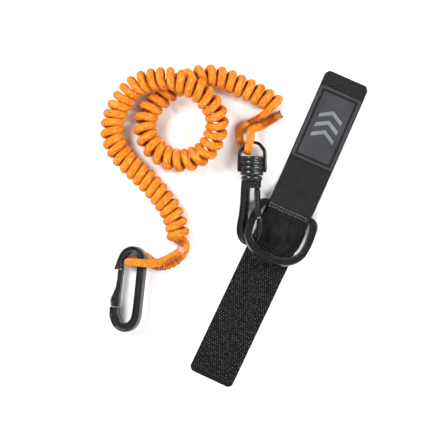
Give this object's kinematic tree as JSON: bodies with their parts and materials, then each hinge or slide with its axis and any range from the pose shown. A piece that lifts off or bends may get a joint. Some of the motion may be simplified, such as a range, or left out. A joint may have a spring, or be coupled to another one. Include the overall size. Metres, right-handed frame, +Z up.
{
  "type": "coiled tool leash",
  "caption": "Curly elastic cord leash with a small snap clip at one end and a swivel snap hook, D ring and hook-and-loop strap at the other, laid flat.",
  "frame": {"origin": "on the table under the middle of the box of the hard pieces and the strap, without the free cord", "axes": "+X to the right and +Y up the plan as the leash lies, +Z up from the table"},
  "size_m": [0.209, 0.2524, 0.0375],
  "materials": {
    "webbing": "woven black nylon webbing",
    "loop_tape": "matt charcoal brushed loop tape",
    "pile": "black velvet pile with a soft sheen",
    "hook_tape": "black moulded hook tape, rows of tiny hooks",
    "patch_rubber": "slate grey moulded rubber, satin",
    "emblem": "lighter grey raised rubber",
    "black_plastic": "injection moulded acetal, satin black",
    "steel": "bright spring steel",
    "orange_cord": "braided orange polyester cover over an elastic core"
  },
  "bodies": {
    "leash": {"hook_body": "black_plastic", "hook_gate_pin": "steel", "hook_gate_spring": "steel", "cord_coil": "orange_cord", "cord_upper_lap": "orange_cord", "cord_upper_tail": "orange_cord", "cord_lower_eye": "orange_cord"},
    "hook_gate": {"hook_gate": "black_plastic"},
    "swivel": {"swivel_eye": "black_plastic", "cord_upper_eye": "orange_cord"},
    "ring": {"ring": "black_plastic"},
    "strap": {"strap_underlay": "webbing", "pocket_tape": "loop_tape", "pile_pad": "pile", "hook_tape_middle": "hook_tape"},
    "upper_flap": {"loop_tape_flap": "loop_tape", "patch": "patch_rubber", "patch_chevron_1": "emblem", "patch_chevron_2": "emblem", "patch_chevron_3": "emblem"},
    "lower_flap": {"hook_tape_flap": "hook_tape"},
    "clip": {"clip_body": "black_plastic", "clip_gate_pin": "steel", "clip_gate_spring": "steel"},
    "clip_gate": {"clip_gate": "black_plastic"}
  },
  "joints": [
    {"name": "hook_gate_hinge", "type": "hinge", "parent": "leash", "child": "hook_gate", "pos_m": [0.01336, 0.0341, 0.01217], "axis": [0.5445, -0.0114, -0.8387], "range_deg": [0, 4], "stiffness_Nm_per_rad": 0.02, "springref_deg": -11.46},
    {"name": "hook_swivel", "type": "hinge", "parent": "leash", "child": "swivel", "pos_m": [0.00956, 0.04878, 0.0095], "axis": [0.0209, 0.9998, 0], "continuous": true},
    {"name": "ring_swing", "type": "hinge", "parent": "leash", "child": "ring", "pos_m": [0.00686, -0.00921, 0.013], "axis": [0, 0, 1], "range_deg": [-4, 8]},
    {"name": "strap_swing", "type": "hinge", "parent": "ring", "child": "strap", "pos_m": [0.03877, 0.01439, 0.0041], "axis": [0.9121, -0.4099, 0], "range_deg": [-2.5, 20]},
    {"name": "upper_fold", "type": "hinge", "parent": "strap", "child": "upper_flap", "pos_m": [0.04794, 0.03384, 0.001], "axis": [0.9157, -0.4019, 0], "range_deg": [0, 90]},
    {"name": "lower_fold", "type": "hinge", "parent": "strap", "child": "lower_flap", "pos_m": [0.01654, -0.03263, 0.001], "axis": [-0.9041, 0.4274, 0], "range_deg": [0, 90]},
    {"name": "clip_swing", "type": "hinge", "parent": "leash", "child": "clip", "pos_m": [-0.07773, -0.04802, 0.01163], "axis": [0.1167, 0.9932, 0], "range_deg": [0, 80]},
    {"name": "clip_gate_hinge", "type": "hinge", "parent": "clip", "child": "clip_gate", "pos_m": [-0.09147, -0.02566, 0.00571], "axis": [-0.3397, 0.0399, 0.9397], "range_deg": [0, 16], "stiffness_Nm_per_rad": 0.02, "springref_deg": -11.46}
  ]
}
